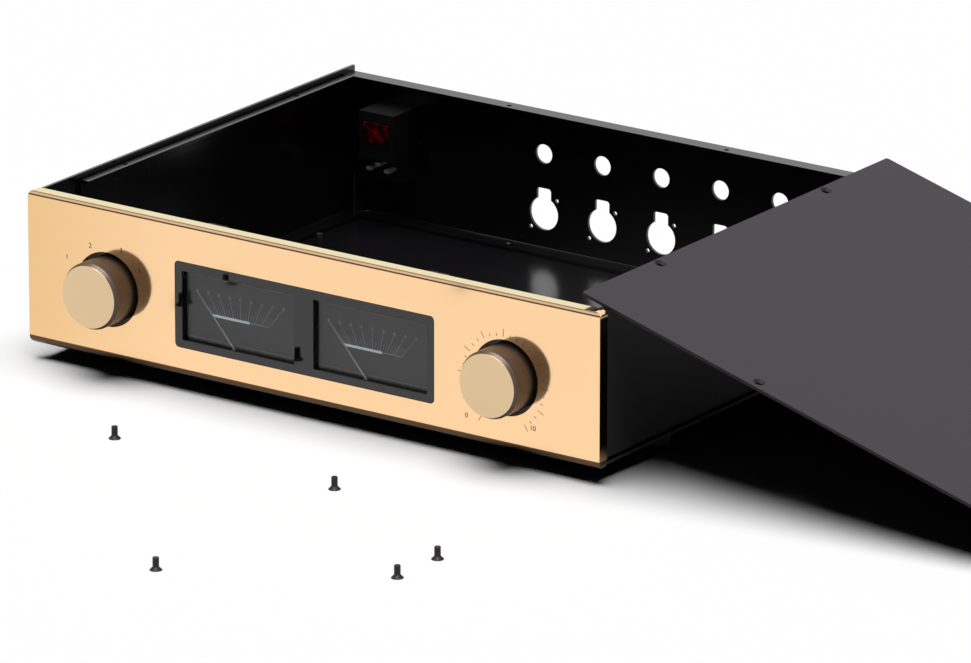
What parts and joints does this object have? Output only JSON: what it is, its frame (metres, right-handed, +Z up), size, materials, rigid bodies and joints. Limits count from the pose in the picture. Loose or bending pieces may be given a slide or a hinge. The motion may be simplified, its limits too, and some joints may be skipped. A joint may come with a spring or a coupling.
{
  "type": "amplifier chassis",
  "caption": "Shallow full-width amplifier enclosure: thick gold front panel, two needle meters, two knobs, cover taken off and leaning on one side",
  "frame": {"origin": "middle of the bottom plate's underside; the feet reach 10 mm lower", "axes": "+X to the right of someone facing the front panel, +Y to the rear, +Z up"},
  "size_m": [0.8102, 0.6193, 0.1169],
  "materials": {
    "gold_panel": "pale gold anodised, smooth and bright",
    "knob_metal": "pale gold anodised, turned",
    "black_coat": "black satin powder coat on steel sheet",
    "cover_coat": "dark grey matt powder coat on steel sheet",
    "bezel_coat": "dark grey anodised",
    "dial_card": "dark grey matt print on sheet",
    "lens": "clear",
    "needle": "grey",
    "black_plastic": "moulded",
    "foot_rubber": "matt",
    "red_plastic": "moulded",
    "plated_steel": "bright plated",
    "black_steel": "blackened"
  },
  "bodies": {
    "chassis": {"front_panel": "gold_panel", "front_subpanel": "black_coat", "bottom_plate": "black_coat", "left_side_panel": "black_coat", "right_side_panel": "black_coat", "left_cover_rail": "black_coat", "right_cover_rail": "black_coat", "left_cover_lug": "black_coat", "right_cover_lug": "black_coat", "front_left_bracket": "black_coat", "front_right_bracket": "black_coat", "rear_left_bracket": "black_coat", "rear_right_bracket": "black_coat", "rear_panel": "black_coat", "top_cover": "cover_coat", "meter_bezel": "bezel_coat", "left_meter_dial": "dial_card", "right_meter_dial": "dial_card", "left_meter_lens": "lens", "right_meter_lens": "lens", "left_meter_case": "black_plastic", "right_meter_case": "black_plastic", "selector_switch": "black_plastic", "inlet_housing": "black_plastic", "front_left_foot": "foot_rubber", "front_right_foot": "foot_rubber", "rear_left_foot": "foot_rubber", "rear_right_foot": "foot_rubber", "switch_barrel": "red_plastic", "selector_nut": "plated_steel", "volume_nut": "plated_steel", "volume_pot": "plated_steel", "inlet_live_pin": "plated_steel", "inlet_neutral_pin": "plated_steel", "inlet_earth_pin": "plated_steel", "bottom_screw_left": "black_steel", "bottom_screw_right": "black_steel", "loose_cover_screw_1": "black_steel", "loose_cover_screw_2": "black_steel", "loose_cover_screw_3": "black_steel", "loose_cover_screw_4": "black_steel", "loose_cover_screw_5": "black_steel", "loose_cover_screw_6": "black_steel", "loose_cover_screw_7": "black_steel", "loose_cover_screw_8": "black_steel", "inlet_screw_left": "black_steel", "inlet_screw_right": "black_steel"},
    "selector": {"selector_knob": "knob_metal", "selector_grub_screw": "black_steel", "selector_shaft": "plated_steel"},
    "volume": {"volume_knob": "knob_metal", "volume_grub_screw": "black_steel", "volume_shaft": "plated_steel"},
    "left_needle": {"left_meter_needle": "needle"},
    "right_needle": {"right_meter_needle": "needle"},
    "rocker": {"power_rocker": "red_plastic"}
  },
  "joints": [
    {"name": "selector_turn", "type": "hinge", "parent": "chassis", "child": "selector", "pos_m": [-0.154, -0.16825, 0.0463], "axis": [0, 1, 0], "range_deg": [0, 120]},
    {"name": "volume_turn", "type": "hinge", "parent": "chassis", "child": "volume", "pos_m": [0.146, -0.16825, 0.0463], "axis": [0, 1, 0], "range_deg": [0, 300]},
    {"name": "left_needle_swing", "type": "hinge", "parent": "chassis", "child": "left_needle", "pos_m": [-0.0553, -0.1639, 0.01885], "axis": [0, 1, 0], "range_deg": [0, 81]},
    {"name": "right_needle_swing", "type": "hinge", "parent": "chassis", "child": "right_needle", "pos_m": [0.0443, -0.1639, 0.01885], "axis": [0, 1, 0], "range_deg": [0, 81]},
    {"name": "rocker_tilt", "type": "hinge", "parent": "chassis", "child": "rocker", "pos_m": [-0.1721, 0.16985, 0.0669], "axis": [-1, 0, 0], "range_deg": [0, 14]}
  ]
}
